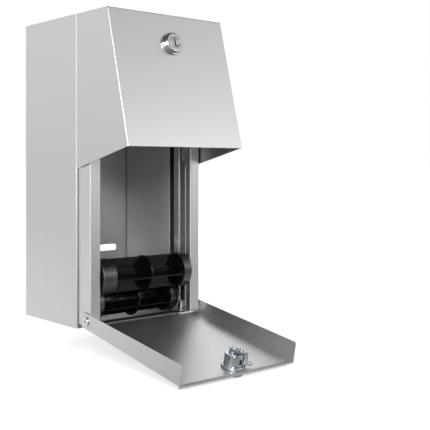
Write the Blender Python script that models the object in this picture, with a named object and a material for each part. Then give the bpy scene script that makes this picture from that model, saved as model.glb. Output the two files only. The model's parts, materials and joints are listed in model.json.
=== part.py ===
"""Wall dispenser for two toilet rolls, folded from stainless sheet, with its door swung down.

Metres, +Z up. X runs across the case, +Y points at the wall and -Y at the user.
The origin is the middle of the case's back face, which lies on the wall.
Pieces are modelled in the frame of the empty that carries them: the case frame starts at
the foot of the back face, and each moving piece hangs on an empty on its joint's axis.
"""
import math

import bmesh
import bpy
from mathutils import Matrix, Vector

# Gauges, folds and gaps that the sheet pieces share
case_sheet = 0.0010
panel_sheet = 0.0008
panel_bend = 0.0014
seat_gap = 0.0003
pass_gap = 0.00025
overrun = 0.002

# Case: a box with a flanged open front and four slots in its back wall
case_width = 0.137
case_height = 0.300
case_depth = 0.0992
case_bend = 0.0016
case_flange = 0.0073
case_flange_low = 0.0035
lip_relief = 0.0012
lip_height = 0.0030
wall_slot_spacing_x = 0.060
wall_slot_spacing_z = 0.173
wall_slot_length = 0.030
wall_slot_width = 0.0068
wall_slot_corner_share = 0.45

# Guides: the inner side walls, each with the lower spindle's upright slot and its front rail
guide_sheet = 0.0010
guide_bend = 0.0015
guide_inset = 0.0098
guide_flange = 0.0073
guide_setback = 0.0024
guide_hem = 0.0022
guide_hem_depth = 0.0025
guide_hem_round = 0.0007
slot_back = 0.0152
slot_side_gap = 0.0004
slot_end_share = 0.9
mouth_height = 0.0080
mouth_over_post = 0.0010

# Posts: the channels at the front, whose rear is the upper spindle's track
post_reach = 0.0209
post_width = 0.0116
post_return = 0.0068
post_over_hinge = 0.058
tab_width = 0.0049
tab_over_hinge = 0.013
tab_height = 0.040
foot_length = 0.0179
foot_rear_gap = 0.0020

# Sill across the foot of the opening
sill_top = 0.0042
sill_depth = 0.0100
sill_flange = 0.0036

# Track feet: the small bent gussets that close the front tracks at the bottom
gusset_height = 0.0095
gusset_flange = 0.0056
gusset_flange_top = 0.0026
gusset_toe = 0.0010

# Hood: hinged at its lower rear corners
hinge_height = 0.157
hinge_from_rear = 0.0040
hood_top_depth = 0.0521
hood_low_depth = 0.0843
hood_front_rise = 0.0156
hood_side_drop = 0.0046
hood_corner = 0.0037
hood_edge_round = 0.0012
hood_hem = 0.0010
hood_hem_height = 0.0070
stud_radius = 0.0020
stud_length = 0.0030
stud_collar_radius = 0.0032
stud_collar = 0.0007
stud_tip = 0.0004
stud_hole_gap = 0.00015

# Door: a flanged tray hinged at the foot of the posts
door_droop = math.radians(10.5)
door_length = 0.143
door_tail = 0.0087
door_flange_near = 0.0076
door_flange_far = 0.0111
door_edge_drop = 0.0020
door_rear_edge = 0.0010
door_corner = 0.0030
door_edge_round = 0.0012
pivot_back = 0.0056
pivot_rise = 0.0043
corner_room = 0.00045
panel_room = 0.00035
pin_radius = 0.0024
pin_head_radius = 0.00435
pin_head = 0.0013
pin_head_round = 0.0004
pin_tail_radius = 0.0035
pin_tail = 0.0012
pin_bore_radius = 0.0014
pin_bore_depth = 0.0025
pin_hole_gap = 0.0002

# Cam locks: one in the hood's front and one in the door, alike but for the cam
lock_bezel_radius = 0.0110
lock_bezel = 0.0016
lock_dome_radius = 0.00985
lock_dome = 0.0036
lock_dome_round = 0.0007
lock_edge_round = 0.0004
lock_barrel_radius = 0.00875
lock_barrel = 0.0130
lock_plug_radius = 0.0050
lock_plug_recess = 0.0003
lock_tail_radius = 0.0030
lock_tail = 0.0060
lock_key_width = 0.0016
lock_key_height = 0.0070
lock_key_depth = 0.0040
lock_nut = 0.0025
lock_washer_radius = 0.00925
lock_washer = 0.0010
lock_end_nut_flats = 0.0090
lock_end_nut = 0.0022
lock_window_width = 0.0030
lock_window_height = 0.0045
lock_window_rise = 0.0050
hood_lock_drop = 0.029
door_lock_offset = 0.0025

# Cams: a straight one behind the hood and a cranked one on the door
cam_sheet = 0.0016
cam_width = 0.0085
cam_bend = 0.0022
cam_length = 0.0175
cam_heel = 0.0056
cam_corner_share = 0.45
crank_side_gap = 0.00055
crank_foot_gap = 0.0007
crank_hole_radius = 0.0013
crank_hole_inset = 0.0030
crank_slot_length = 0.0050
crank_slot_width = 0.0015
crank_slot_inset = 0.0018
crank_rest = math.radians(33)

# Strike: the bent strip under the roof that the hood's cam turns up behind
strike_sheet = 0.0012
strike_bend = 0.0020
strike_width = 0.0170
strike_base = 0.0220
strike_setback = 0.0072
strike_cam_gap = 0.0020
strike_catch_gap = 0.00135
strike_overlap = 0.0060

# Spindles: a finned spool with two end cups, turning on a steel axle with end runners
spool_radius = 0.0176
spool_floor_gap = 0.0017
hub_radius = 0.00475
fin_thickness = 0.0016
fin_below_rim = 0.0001
upper_fin_lean = math.radians(11)
lower_fin_lean = math.radians(25)
disc_thickness = 0.0022
disc_offset = 0.0040
left_cup_gap = 0.0018
left_cup_length = 0.0150
right_cup_gap = 0.0005
right_cup_length = 0.0095
cup_wall = 0.0014
cup_end = 0.0016
cup_round = 0.0007
axle_radius = 0.0020
runner_cap = 0.0010
runner_round = 0.0004
lower_runner_radius = 0.0035
lower_runner_reach = 0.0043
upper_runner_reach = 0.0021
upper_track_gap = 0.00045

# Facets of round stretches; a round wider than widest_fold gets slot_steps
fold_steps = 2
widest_fold = 0.0028
slot_steps = 5
small_steps = 16
lock_steps = 24
spool_steps = 32
fin_count = 4
hub_arc_steps = 2
hex_sides = 6
hex_side_steps = 4
crease_angle = math.radians(35)

sides = (("left", -1), ("right", 1))

# Planes that follow from the sizes above, in the case frame
half_case = case_width / 2
guide_x = half_case - guide_inset
seat_y = -(case_depth + seat_gap)
guide_front = seat_y + guide_setback
hood_inner_x = half_case - panel_sheet
door_x = hood_inner_x - pass_gap
door_inner_x = door_x - panel_sheet
post_x = door_inner_x - pass_gap
post_inner_x = post_x - panel_sheet
post_edge_x = post_x - post_width
post_front = seat_y - post_reach
post_return_y = post_front + post_return
post_foot = sill_top + seat_gap
post_top = hinge_height + post_over_hinge
hinge_y = seat_y - hinge_from_rear
pivot_y = post_front + pivot_back
pivot_z = post_foot + pivot_rise
corner_radius = pivot_back + corner_room
door_floor = -(corner_radius + panel_room)
door_under = door_floor - panel_sheet
hood_tilt = math.atan2(hood_low_depth - hood_top_depth, case_height - hinge_height - hood_front_rise)

# Lines of the two spindles, in the case frame
lower_axis_y = seat_y + slot_back
lower_axis_z = case_sheet + spool_floor_gap + spool_radius
upper_axis_y = (post_return_y + seat_y) / 2
spindle_distance = 2 * spool_radius + seat_gap
upper_axis_z = lower_axis_z + math.sqrt(spindle_distance ** 2 - (lower_axis_y - upper_axis_y) ** 2)
upper_runner_radius = (seat_y - post_return_y) / 2 - upper_track_gap
cup_outer_x = {-1: post_edge_x - left_cup_gap, 1: post_edge_x - right_cup_gap}
cup_rim_x = {-1: cup_outer_x[-1] - left_cup_length, 1: cup_outer_x[1] - right_cup_length}

# The lower spindle's slot, in the case frame
slot_half = lower_runner_radius + slot_side_gap
slot_rear = lower_axis_y + slot_half
slot_front = lower_axis_y - slot_half
slot_foot = lower_axis_z - lower_runner_radius - seat_gap
mouth_top = post_top + mouth_over_post
mouth_low = mouth_top - mouth_height

# Levels of a lock along its own axis, from the sheet's outer face
lock_seat = seat_gap
lock_front = lock_seat + lock_bezel + lock_dome
lock_back = -lock_barrel
washer_top = lock_back - seat_gap
washer_low = washer_top - lock_washer
cam_top = washer_low - seat_gap
cam_low = cam_top - cam_sheet
end_nut_top = cam_low - seat_gap
nut_top = -(panel_sheet + seat_gap)
nut_low = nut_top - lock_nut
lock_hole_radius = lock_barrel_radius + seat_gap
door_lock_y = -(door_length - panel_sheet - seat_gap - lock_bezel_radius)


def clear_scene():
    for item in list(bpy.data.objects):
        bpy.data.objects.remove(item, do_unlink=True)


def make_finish(name, colour, metallic, roughness):
    finish = bpy.data.materials.new(name)
    finish.use_nodes = True
    finish.diffuse_color = (*colour, 1)
    shader = finish.node_tree.nodes["Principled BSDF"]
    shader.inputs["Base Color"].default_value = (*colour, 1)
    shader.inputs["Metallic"].default_value = metallic
    shader.inputs["Roughness"].default_value = roughness
    return finish


def make_axis(name, place, parent=None, tilt=0):
    """Empty on a joint's axis, turned by tilt about X."""
    axis = bpy.data.objects.new(name, None)
    axis.empty_display_size = seat_gap
    axis.location = place
    axis.rotation_euler.x = tilt
    axis.parent = parent
    bpy.context.collection.objects.link(axis)
    return axis


def new_solid(points, faces):
    mesh = bpy.data.meshes.new("solid")
    mesh.from_pydata(points, [], faces)
    shape = bmesh.new()
    shape.from_mesh(mesh)
    bmesh.ops.recalc_face_normals(shape, faces=shape.faces)
    shape.to_mesh(mesh)
    shape.free()
    solid = bpy.data.objects.new("solid", mesh)
    bpy.context.collection.objects.link(solid)
    return solid


def combine(target, tool, operation="DIFFERENCE"):
    """Cut, join or intersect target with tool, and drop the tool."""
    step = target.modifiers.new("combine", "BOOLEAN")
    step.operation = operation
    step.solver = "EXACT"
    step.object = tool
    graph = bpy.context.evaluated_depsgraph_get()
    result = bpy.data.meshes.new_from_object(target.evaluated_get(graph))
    target.modifiers.remove(step)
    target.data = result
    bpy.data.objects.remove(tool, do_unlink=True)


def keep(solid, name, finish, parent, is_round=False):
    """Name a finished solid, give it its finish and hang it on its empty."""
    solid.name = name
    solid.data.name = name
    solid.data.materials.clear()
    solid.data.materials.append(finish)
    solid.parent = parent
    if is_round:
        solid.data.shade_smooth()
        solid.data.set_sharp_from_angle(angle=crease_angle)
    return solid


def on_axis(axis, across, along, height):
    """Point of a section: height runs along the named axis."""
    if axis == "x":
        return (height, across, along)
    if axis == "y":
        return (across, height, along)
    return (across, along, height)


def prism(outline, axis, low, high):
    count = len(outline)
    points = [on_axis(axis, across, along, low) for across, along in outline]
    points += [on_axis(axis, across, along, high) for across, along in outline]
    faces = [tuple(range(count)), tuple(range(count, 2 * count))]
    for index in range(count):
        following = (index + 1) % count
        faces.append((index, following, following + count, index + count))
    return new_solid(points, faces)


def block(x_low, x_high, y_low, y_high, z_low, z_high):
    outline = [(x_low, y_low), (x_high, y_low), (x_high, y_high), (x_low, y_high)]
    return prism(outline, "z", z_low, z_high)


def circle(radius, steps, centre=(0, 0)):
    angles = [2 * math.pi * (step + 0.5) / steps for step in range(steps)]
    return [(centre[0] + radius * math.cos(angle), centre[1] + radius * math.sin(angle)) for angle in angles]


def turned(profile, axis, steps):
    """Solid turned about an axis from (radius, height) points.

    A profile that starts and ends on the axis is solid there; any other one closes on itself.
    """
    points = []
    rings = []
    for radius, height in profile:
        if radius == 0:
            rings.append([len(points)] * steps)
            points.append(on_axis(axis, 0, 0, height))
            continue
        rings.append(list(range(len(points), len(points) + steps)))
        points += [on_axis(axis, across, along, height) for across, along in circle(radius, steps)]
    pairs = list(zip(rings, rings[1:]))
    if profile[0][0] > 0:
        pairs.append((rings[-1], rings[0]))
    faces = []
    for first, second in pairs:
        for step in range(steps):
            following = (step + 1) % steps
            corners = [first[step], first[following], second[following], second[step]]
            faces.append(tuple(dict.fromkeys(corners)))
    return new_solid(points, faces)


def rounded(corners, radii):
    """Outline through the corners, each rounded by its own radius; zero leaves a corner sharp."""
    outline = []
    for index, corner in enumerate(corners):
        if radii[index] == 0:
            outline.append(corner)
            continue
        here = Vector(corner)
        before = (Vector(corners[index - 1]) - here).normalized()
        after = (Vector(corners[(index + 1) % len(corners)]) - here).normalized()
        half_angle = before.angle(after) / 2
        reach = radii[index] / math.tan(half_angle)
        centre = here + (before + after).normalized() * radii[index] / math.sin(half_angle)
        start = here + before * reach - centre
        turn = 1 if before.cross(after) < 0 else -1
        steps = slot_steps if radii[index] > widest_fold else fold_steps
        for step in range(steps + 1):
            angle = turn * (math.pi - 2 * half_angle) * step / steps
            outline.append(tuple(centre + Matrix.Rotation(angle, 2) @ start))
    return outline


def folded(path, thickness, bend):
    """Section of a folded sheet that lies to the left of its path, with every fold rounded."""
    points = [Vector(point) for point in path]
    headings = [(after - before).normalized() for before, after in zip(points, points[1:])]
    normals = [Vector((-heading.y, heading.x)) for heading in headings]
    near = [(tuple(points[0]), 0)]
    far = [(tuple(points[0] + normals[0] * thickness), 0)]
    for index in range(1, len(points) - 1):
        before, after = normals[index - 1], normals[index]
        shift = (before + after) * thickness / (1 + before.dot(after))
        turns_left = headings[index - 1].cross(headings[index]) > 0
        inside, outside = bend - thickness, bend
        near.append((tuple(points[index]), outside if turns_left else inside))
        far.append((tuple(points[index] + shift), inside if turns_left else outside))
    near.append((tuple(points[-1]), 0))
    far.append((tuple(points[-1] + normals[-1] * thickness), 0))
    whole = near + far[::-1]
    return rounded([corner for corner, radius in whole], [radius for corner, radius in whole])


def mirrored(outline, side):
    """Outline whose first value is turned over to the left when side is -1."""
    return [(side * across, along) for across, along in outline]


def soften(solid, picks, width):
    """Round the edges of a solid that picks accepts."""
    shape = bmesh.new()
    shape.from_mesh(solid.data)
    edges = [edge for edge in shape.edges if picks(*[corner.co for corner in edge.verts])]
    bmesh.ops.bevel(shape, geom=edges, offset=width, segments=fold_steps, profile=0.5, affect="EDGES")
    shape.to_mesh(solid.data)
    shape.free()


def side_range(side, low, high):
    """The two ends of a stretch on the right side, mirrored when side is -1."""
    return sorted((side * low, side * high))


def make_case(steel, parent):
    front = -case_depth
    inner_x = half_case - case_sheet
    mouth_x = half_case - case_flange
    shell = [(-half_case, 0), (-half_case, front), (half_case, front), (half_case, 0)]
    case = prism(rounded(shell, [case_bend] * len(shell)), "z", 0, case_height)
    hollow = [
        (-inner_x, -case_sheet), (-inner_x, front + case_sheet), (-mouth_x, front + case_sheet),
        (-mouth_x, front - overrun), (mouth_x, front - overrun), (mouth_x, front + case_sheet),
        (inner_x, front + case_sheet), (inner_x, -case_sheet)]
    fold = case_bend - case_sheet
    hollow_radii = [fold, fold, 0, 0, 0, 0, fold, fold]
    combine(case, prism(rounded(hollow, hollow_radii), "z", case_sheet, case_height - case_sheet))
    lip_x = guide_x - lip_relief
    combine(case, block(-lip_x, lip_x, front, front + case_sheet, 0, lip_height), "UNION")
    for word, side in sides:
        trimmed = side_range(side, mouth_x - overrun, half_case - case_flange_low)
        combine(case, block(*trimmed, front - overrun, front + case_sheet + overrun, case_sheet, hinge_height))
    reach = wall_slot_length / 2
    rise = wall_slot_width / 2
    corner = wall_slot_width * wall_slot_corner_share
    for middle_x in (-wall_slot_spacing_x / 2, wall_slot_spacing_x / 2):
        for shift_z in (-wall_slot_spacing_z / 2, wall_slot_spacing_z / 2):
            middle_z = case_height / 2 + shift_z
            slot = [
                (middle_x - reach, middle_z - rise), (middle_x + reach, middle_z - rise),
                (middle_x + reach, middle_z + rise), (middle_x - reach, middle_z + rise)]
            combine(case, prism(rounded(slot, [corner] * len(slot)), "y", -case_sheet - overrun, overrun))
    keep(case, "case_shell", steel, parent)


def make_guide(name, side, steel, parent):
    """Side wall with a flange at its rear and a hem in front, notched for its slot and mouth."""
    rear = -(case_sheet + seat_gap)
    outer_x = guide_x + guide_sheet
    hem_x = guide_x + guide_hem
    hem_y = guide_front + guide_hem_depth
    flange_x = guide_x + guide_flange
    section = [
        (guide_x, rear), (guide_x, guide_front), (hem_x, guide_front), (hem_x, hem_y),
        (outer_x, hem_y), (outer_x, rear - guide_sheet), (flange_x, rear - guide_sheet), (flange_x, rear)]
    radii = [guide_bend, guide_hem_round, guide_hem_round, 0, 0, guide_bend - guide_sheet, 0, 0]
    low = case_sheet + seat_gap
    guide = prism(mirrored(rounded(section, radii), side), "z", low, case_height - low)
    notch = [
        (slot_rear, slot_foot), (slot_rear, mouth_top), (guide_front - overrun, mouth_top),
        (guide_front - overrun, slot_foot)]
    ends = side_range(side, guide_x - overrun, hem_x + overrun)
    combine(guide, prism(rounded(notch, [slot_half * slot_end_share, 0, 0, 0]), "x", *ends))
    keep(guide, name, steel, parent)


def make_slot_rail(name, side, steel, parent):
    """Hemmed strip welded into the guide's notch: it closes the slot in front, up to the mouth."""
    outer_x = guide_x + guide_sheet
    hem_x = guide_x + guide_hem
    hem_y = guide_front + guide_hem_depth
    section = [
        (guide_x, slot_front), (guide_x, guide_front), (hem_x, guide_front), (hem_x, hem_y),
        (outer_x, hem_y), (outer_x, slot_front)]
    outline = rounded(section, [0, guide_hem_round, guide_hem_round, 0, 0, 0])
    rail = prism(mirrored(outline, side), "z", slot_foot + seat_gap, mouth_low)
    keep(rail, name, steel, parent)


def make_post(name, side, steel, parent):
    tab_x = post_x - tab_width
    path = [
        (post_edge_x, post_return_y), (post_edge_x, post_front), (post_x, post_front),
        (post_x, seat_y), (tab_x, seat_y)]
    section = mirrored(folded(path, panel_sheet, panel_bend), side)
    post = prism(section, "z", post_foot, post_top)
    tab_low = hinge_height + tab_over_hinge
    tab_high = tab_low + tab_height
    beside = side_range(side, tab_x - overrun, post_inner_x)
    tab_rear = seat_y - panel_bend
    combine(post, block(*beside, tab_rear, seat_y + overrun, post_foot - overrun, tab_low))
    combine(post, block(*beside, tab_rear, seat_y + overrun, tab_high, post_top + overrun))
    cut_z = pivot_z - math.sqrt(corner_radius ** 2 - pivot_back ** 2)
    cut_y = pivot_y - math.sqrt(corner_radius ** 2 - pivot_rise ** 2)
    front = side_range(side, post_edge_x - overrun, post_x + overrun)
    combine(post, block(*front, post_front - overrun, cut_y, post_foot - overrun, cut_z))
    sole = side_range(side, post_x - foot_length, post_x)
    sole_rear = seat_y - foot_rear_gap
    combine(post, block(*sole, cut_y, sole_rear, post_foot, post_foot + panel_sheet), "UNION")
    through = side_range(side, post_inner_x - overrun, post_x + overrun)
    stud_hole = circle(stud_radius + stud_hole_gap, small_steps, (hinge_y, hinge_height))
    combine(post, prism(stud_hole, "x", *through))
    pin_hole = circle(pin_radius + pin_hole_gap, small_steps, (pivot_y, pivot_z))
    combine(post, prism(pin_hole, "x", *through))
    keep(post, name, steel, parent)


def make_sill(steel, parent):
    front = seat_y - sill_depth
    rear = seat_y - panel_sheet
    under = sill_top - panel_sheet
    path = [(front, under), (rear, under), (rear, sill_top - sill_flange)]
    half = post_inner_x - seat_gap
    keep(prism(folded(path, panel_sheet, panel_bend), "x", -half, half), "sill", steel, parent)


def make_track_foot(name, side, steel, parent):
    """Upright angle on the sill: its web closes the track, its flange lies on the guide."""
    low = sill_top + seat_gap
    top = low + gusset_height
    front = seat_y - foot_rear_gap + seat_gap
    inner_x = guide_x - seat_gap
    outer_x = post_inner_x - seat_gap
    rear = front + gusset_flange
    path = [(outer_x, front), (inner_x - panel_sheet, front), (inner_x - panel_sheet, rear)]
    section = folded(mirrored(path, -1), panel_sheet, panel_bend)
    foot = prism(mirrored(section, -side), "z", low, top)
    slope = [
        (rear + overrun, low + gusset_toe), (rear, low + gusset_toe), (front + gusset_flange_top, top),
        (front + gusset_flange_top, top + overrun), (rear + overrun, top + overrun)]
    combine(foot, prism(slope, "x", *side_range(side, inner_x - panel_sheet - overrun, inner_x + overrun)))
    keep(foot, name, steel, parent)


def on_hood_front(outward, up):
    """Point of the case frame, from the middle of the hood's lock on the front's outer face."""
    drop = hood_lock_drop + outward * -math.sin(hood_tilt) - up * math.cos(hood_tilt)
    top_y = seat_y - hood_top_depth
    lock_y = top_y - hood_lock_drop * math.tan(hood_tilt)
    return (lock_y - outward * math.cos(hood_tilt) + up * math.sin(hood_tilt), case_height - drop)


def make_strike(steel, parent):
    """Its lip hangs in front of the hood's cam once the cam is turned up."""
    tip = on_hood_front(cam_top, cam_length)
    catch = on_hood_front(cam_top, cam_length - strike_overlap)
    roof = case_height - case_sheet - seat_gap
    web_y = -(case_depth - strike_setback)
    arm = tip[1] + strike_cam_gap + strike_sheet
    lip_y = catch[0] - strike_catch_gap - strike_sheet
    path = [(web_y + strike_base, roof), (web_y, roof), (web_y, arm), (lip_y, arm), (lip_y, catch[1])]
    section = folded(path, strike_sheet, strike_bend)
    keep(prism(section, "x", -strike_width / 2, strike_width / 2), "hood_strike", steel, parent)


def make_hood(steel, parent):
    """The hood's frame starts on the hinge, so every height here is measured from it."""
    rear = hinge_from_rear
    top = case_height - hinge_height
    front_top = rear - hood_top_depth
    front_low = rear - hood_low_depth
    outline = [(rear, -hood_side_drop), (rear, top), (front_top, top), (front_low, hood_front_rise)]
    hood = prism(rounded(outline, [hood_corner, 0, panel_bend, 0]), "x", -half_case, half_case)
    along = Vector((front_low - front_top, hood_front_rise - top))
    length = along.length
    along.normalize()
    inward = Vector((-along.y, along.x))

    def is_outer_edge(first, second):
        crosses = first.x * second.x < 0
        reaches = [inward.dot(Vector((point.y - front_top, point.z - top))) for point in (first, second)]
        on_front = max(reaches) < panel_sheet
        on_top = min(first.z, second.z) > top - panel_sheet
        at_rear = min(first.y, second.y) > rear - seat_gap
        return not crosses and (on_front or on_top) and not at_rear

    soften(hood, is_outer_edge, hood_edge_round)

    def front_point(depth, distance):
        point = Vector((front_top, top)) + inward * depth + along * distance
        return tuple(point)

    miter = panel_sheet * (1 - math.sin(hood_tilt)) / math.cos(hood_tilt)
    behind_hem = panel_sheet + hood_hem
    hollow = [
        (rear + overrun, top - panel_sheet), front_point(panel_sheet, miter),
        front_point(panel_sheet, length - hood_hem_height), front_point(behind_hem, length - hood_hem_height),
        front_point(behind_hem, length + overrun), (front_low, -hood_side_drop - overrun),
        (rear + overrun, -hood_side_drop - overrun)]
    combine(hood, prism(hollow, "x", -hood_inner_x, hood_inner_x))
    centre = on_hood_front(0, 0)
    hole = prism(circle(lock_hole_radius, lock_steps), "z", -panel_sheet - overrun, overrun)
    turn = Matrix.Rotation(math.pi / 2 - hood_tilt, 4, "X")
    hole.data.transform(Matrix.Translation((0, centre[0] - hinge_y, centre[1] - hinge_height)) @ turn)
    combine(hood, hole)
    keep(hood, "hood_shell", steel, parent)


def make_hood_pin(name, side, steel, parent):
    root = hood_inner_x - seat_gap
    collar = root - stud_collar
    tip = post_inner_x - stud_length
    profile = [
        (0, root), (stud_collar_radius, root), (stud_collar_radius, collar), (stud_radius, collar),
        (stud_radius, tip + stud_tip), (stud_radius - stud_tip, tip), (0, tip)]
    pin = turned([(radius, side * height) for radius, height in profile], "x", small_steps)
    keep(pin, name, steel, parent, is_round=True)


def make_door(steel, parent):
    """The door's frame starts on its pivot: the floor lies below it and runs to -Y."""
    free_end = -door_length
    edge_low = door_under - door_edge_drop
    outline = [
        (door_tail, door_under), (free_end + panel_sheet, door_under), (free_end + panel_sheet, edge_low),
        (free_end, edge_low), (free_end, door_flange_far), (door_tail, door_flange_near)]
    outline_radii = [door_corner, 0, 0, 0, panel_bend, door_corner]
    door = prism(rounded(outline, outline_radii), "x", -door_x, door_x)

    def is_lower_side_edge(first, second):
        is_low = max(first.z, second.z) < door_under + panel_sheet / 2
        is_long = abs(first.y - second.y) > door_length / 2
        return is_low and is_long

    soften(door, is_lower_side_edge, door_edge_round)
    beyond = free_end - overrun
    above = door_flange_far + overrun
    behind = door_tail + overrun
    under = door_under - overrun
    hollow = [
        (beyond, door_floor), (door_rear_edge, door_floor), (door_rear_edge, under), (behind, under),
        (behind, above), (beyond, above)]
    combine(door, prism(hollow, "x", -door_inner_x, door_inner_x))
    pin_hole = circle(pin_radius + pin_hole_gap, small_steps)
    combine(door, prism(pin_hole, "x", -door_x - overrun, door_x + overrun))
    lock_hole = circle(lock_hole_radius, lock_steps, (door_lock_offset, door_lock_y))
    combine(door, prism(lock_hole, "z", door_under - overrun, door_floor + overrun))
    keep(door, "door_panel", steel, parent)


def make_door_pin(name, side, steel, parent):
    """Tubular rivet through the door's flange and the post's side."""
    under_head = door_x + pass_gap
    face = under_head + pin_head
    over_tail = post_inner_x - pass_gap
    end = over_tail - pin_tail
    bore_end = face - pin_bore_depth
    profile = [
        (0, bore_end), (pin_bore_radius, bore_end), (pin_bore_radius, face),
        (pin_head_radius - pin_head_round, face), (pin_head_radius, face - pin_head_round),
        (pin_head_radius, under_head), (pin_radius, under_head), (pin_radius, over_tail),
        (pin_tail_radius, over_tail), (pin_tail_radius, end), (0, end)]
    pin = turned([(radius, side * height) for radius, height in profile], "x", small_steps)
    keep(pin, name, steel, parent, is_round=True)


def make_lock_body(prefix, chrome, parent):
    bore = lock_plug_radius + seat_gap
    bezel_top = lock_seat + lock_bezel
    profile = [
        (bore, lock_back), (lock_barrel_radius, lock_back), (lock_barrel_radius, lock_seat),
        (lock_bezel_radius, lock_seat), (lock_bezel_radius, bezel_top - lock_edge_round),
        (lock_bezel_radius - lock_edge_round, bezel_top), (lock_dome_radius, bezel_top),
        (lock_dome_radius, lock_front - lock_dome_round), (lock_dome_radius - lock_dome_round, lock_front),
        (bore, lock_front)]
    body = turned(profile, "z", lock_steps)
    window_low = lock_window_rise + panel_sheet
    half = lock_window_width / 2
    window = block(
        -half, half, lock_plug_radius, lock_barrel_radius + overrun,
        -(window_low + lock_window_height), -window_low)
    combine(body, window)
    keep(body, prefix + "_body", chrome, parent, is_round=True)


def make_lock_ring(name, inner, outer, low, high, finish, parent):
    profile = [(inner, low), (outer, low), (outer, high), (inner, high)]
    keep(turned(profile, "z", lock_steps), name, finish, parent, is_round=True)


def make_lock_plug(prefix, chrome, parent):
    face = lock_front - lock_plug_recess
    profile = [
        (0, face), (lock_plug_radius - lock_edge_round, face), (lock_plug_radius, face - lock_edge_round),
        (lock_plug_radius, lock_back), (lock_tail_radius, lock_back), (lock_tail_radius, lock_back - lock_tail),
        (0, lock_back - lock_tail)]
    plug = turned(profile, "z", lock_steps)
    half = lock_key_width / 2
    rise = lock_key_height / 2
    combine(plug, block(-half, half, -rise, rise, face - lock_key_depth, face + overrun))
    keep(plug, prefix + "_plug", chrome, parent, is_round=True)


def make_end_nut(prefix, chrome, parent):
    """Hexagon with a round hole, both drawn with the same number of points."""
    steps = hex_sides * hex_side_steps
    hole = circle(lock_tail_radius + seat_gap, steps)
    outline = []
    for step in range(steps):
        angle = 2 * math.pi * (step + 0.5) / steps
        off_flat = math.fmod(angle, 2 * math.pi / hex_sides) - math.pi / hex_sides
        radius = lock_end_nut_flats / 2 / math.cos(off_flat)
        outline.append((radius * math.cos(angle), radius * math.sin(angle)))
    low = end_nut_top - lock_end_nut
    nut = prism(outline, "z", low, end_nut_top)
    combine(nut, prism(hole, "z", low - overrun, end_nut_top + overrun))
    keep(nut, prefix + "_end_nut", chrome, parent)


def cam_plan():
    """Outline of either cam seen along the lock's axis, pointing to +X."""
    half = cam_width / 2
    corners = [(-cam_heel, -half), (cam_length, -half), (cam_length, half), (-cam_heel, half)]
    return rounded(corners, [cam_width * cam_corner_share] * len(corners))


def make_hood_cam(steel, parent):
    cam = prism(cam_plan(), "z", cam_low, cam_top)
    hole = circle(lock_tail_radius + seat_gap, small_steps)
    combine(cam, prism(hole, "z", cam_low - overrun, cam_top + overrun))
    keep(cam, "hood_lock_cam", steel, parent)


def make_door_cam(steel, parent):
    """Cranked cam: it comes down beside the barrel and runs out over the door's floor."""
    riser = lock_washer_radius + crank_side_gap
    foot_low = nut_low - crank_foot_gap
    path = [(-cam_heel, cam_top), (riser, cam_top), (riser, foot_low), (cam_length, foot_low)]
    cam = prism(folded(path[::-1], cam_sheet, cam_bend), "y", -cam_width / 2, cam_width / 2)
    combine(cam, prism(cam_plan(), "z", cam_low - overrun, foot_low + overrun), "INTERSECT")
    tail_hole = circle(lock_tail_radius + seat_gap, small_steps)
    combine(cam, prism(tail_hole, "z", cam_low - overrun, cam_top + overrun))
    foot_hole = circle(crank_hole_radius, small_steps, (cam_length - crank_hole_inset, 0))
    combine(cam, prism(foot_hole, "z", foot_low - cam_sheet - overrun, foot_low + overrun))
    slot_x = riser - crank_slot_inset
    half = crank_slot_length / 2
    slot = block(slot_x - crank_slot_width, slot_x, -half, half, cam_low - overrun, cam_top + overrun)
    combine(cam, slot)
    cam.data.transform(Matrix.Rotation(crank_rest, 4, "Z"))
    keep(cam, "door_lock_cam", steel, parent)


def make_lock(prefix, chrome, parent):
    make_lock_body(prefix, chrome, parent)
    make_lock_ring(prefix + "_nut", lock_hole_radius, lock_bezel_radius, nut_low, nut_top, chrome, parent)
    make_lock_plug(prefix, chrome, parent)
    washer_bore = lock_tail_radius + seat_gap
    make_lock_ring(
        prefix + "_washer", washer_bore, lock_washer_radius, washer_low, washer_top, chrome, parent)
    make_end_nut(prefix, chrome, parent)


def fin_section(tip_radius, fin_lean):
    """Cross section of the spool: a round hub with four fins, in the plane across the axle."""
    half = fin_thickness / 2
    root = math.asin(half / hub_radius)
    gap = 2 * math.pi / fin_count - 2 * root
    outline = []
    for fin in range(fin_count):
        lean = fin_lean + 2 * math.pi * fin / fin_count
        out = Vector((-math.cos(lean), -math.sin(lean)))
        beside = Vector((-out.y, out.x))
        outline.append(tuple(out * tip_radius - beside * half))
        outline.append(tuple(out * tip_radius + beside * half))
        for step in range(hub_arc_steps + 1):
            angle = root + gap * step / hub_arc_steps
            outline.append(tuple(Matrix.Rotation(angle, 2) @ (out * hub_radius)))
    return outline


def make_spool(name, fin_lean, plastic, parent):
    """Fins with a disc between the cups; their ends are turned down to fit inside the cups."""
    end_x = {side: cup_outer_x[side] - cup_end - seat_gap for word, side in sides}
    fins = fin_section(spool_radius - fin_below_rim, fin_lean)
    spool = prism(fins, "x", -end_x[-1], end_x[1])
    inside_cup = spool_radius - cup_wall - seat_gap
    for word, side in sides:
        low, high = side_range(side, cup_rim_x[side] - seat_gap, end_x[side] + overrun)
        past = spool_radius + overrun
        ring = [(inside_cup, low), (past, low), (past, high), (inside_cup, high)]
        combine(spool, turned(ring, "x", spool_steps))
    half_disc = disc_thickness / 2
    disc = prism(circle(spool_radius, spool_steps), "x", disc_offset - half_disc, disc_offset + half_disc)
    combine(spool, disc, "UNION")
    bore = circle(axle_radius + seat_gap, small_steps)
    combine(spool, prism(bore, "x", -end_x[-1] - overrun, end_x[1] + overrun))
    keep(spool, name, plastic, parent)


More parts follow.
